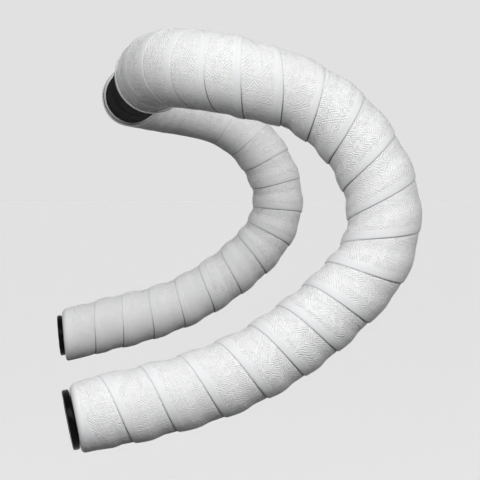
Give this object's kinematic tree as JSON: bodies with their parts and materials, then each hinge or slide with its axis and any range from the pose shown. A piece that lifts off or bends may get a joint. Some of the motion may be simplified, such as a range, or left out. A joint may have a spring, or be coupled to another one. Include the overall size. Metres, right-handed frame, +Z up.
{
  "type": "taped drop handlebar",
  "caption": "Bent drop handlebar with a bare clamp section, cushioned tape wound on both sides, push-in end plugs and finishing tape.",
  "frame": {"origin": "centre of the stem clamp section, on the bar's axis", "axes": "+X forwards, the way the drops reach; +Y to the rider's left, along the clamp section; +Z up"},
  "size_m": [0.1562, 0.4846, 0.1847],
  "materials": {
    "bar": "satin black coating",
    "tape": "white synthetic with a fine embossed zigzag grain and smooth borders",
    "plug": "glossy black",
    "finishing_tape": "smooth pale vinyl"
  },
  "bodies": {
    "root": {"handlebar": "bar", "tape_right": "tape", "tape_left": "tape", "end_plug_right": "plug", "end_plug_left": "plug", "finishing_tape_right": "finishing_tape", "finishing_tape_left": "finishing_tape"}
  },
  "joints": []
}
